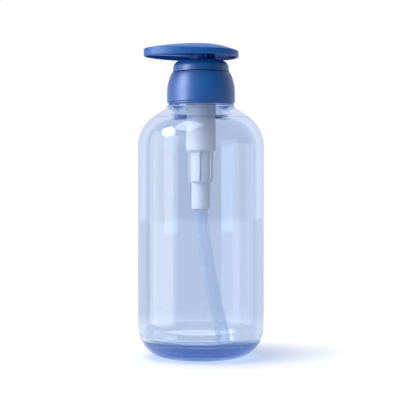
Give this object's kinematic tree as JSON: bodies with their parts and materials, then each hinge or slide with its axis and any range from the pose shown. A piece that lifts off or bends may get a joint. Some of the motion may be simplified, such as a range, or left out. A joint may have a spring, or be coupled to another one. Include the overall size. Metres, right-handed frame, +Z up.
{
  "type": "lotion pump bottle",
  "caption": "Clear tinted thick-walled round bottle with a blue screw closure and a lock-down lotion pump with a flat teardrop head, spring, piston, ball valves and dip tube.",
  "frame": {"origin": "centre of the bottle's foot, on the surface it stands on", "axes": "+Z up along the bottle's axis; the spout points along -X"},
  "size_m": [0.068, 0.068, 0.1694],
  "materials": {
    "tinted_clear": "clear, lightly blue tinted, polished",
    "blue_plastic": "satin moulded polypropylene",
    "white_plastic": "natural white moulded polypropylene",
    "frosted_tube": "translucent extruded polyethylene",
    "soft_seal": "soft foamed polyethylene",
    "bright_steel": "drawn stainless wire and polished balls"
  },
  "bodies": {
    "bottle": {"bottle": "tinted_clear"},
    "pump": {"pump_housing": "white_plastic", "neck_gasket": "soft_seal", "lock_ring": "blue_plastic", "dip_tube": "frosted_tube", "inlet_ball": "bright_steel", "ball_cage": "white_plastic", "return_spring": "bright_steel"},
    "closure": {"closure": "blue_plastic"},
    "piston": {"piston": "white_plastic"},
    "head": {"actuator_head": "blue_plastic", "stem": "white_plastic", "plunger": "white_plastic", "outlet_ball": "bright_steel"}
  },
  "joints": [
    {"name": "pump_lift", "type": "slide", "parent": "bottle", "child": "pump", "axis": [0, 0, 1], "range_m": [0, 0.00634]},
    {"name": "closure_turn", "type": "hinge", "parent": "pump", "child": "closure", "pos_m": [0, 0, 0.145], "axis": [0, 0, 1], "range_deg": [0, 540]},
    {"name": "pump_stroke", "type": "slide", "parent": "pump", "child": "piston", "axis": [0, 0, 1], "range_m": [0, 0.011], "deforming": ["return_spring"]},
    {"name": "head_turn", "type": "hinge", "parent": "piston", "child": "head", "pos_m": [0, 0, 0.165], "axis": [0, 0, 1], "continuous": true}
  ],
  "couplings": [
    {"joint": "closure_turn", "follows": "pump_lift", "rad_per_m": 1485.4}
  ]
}
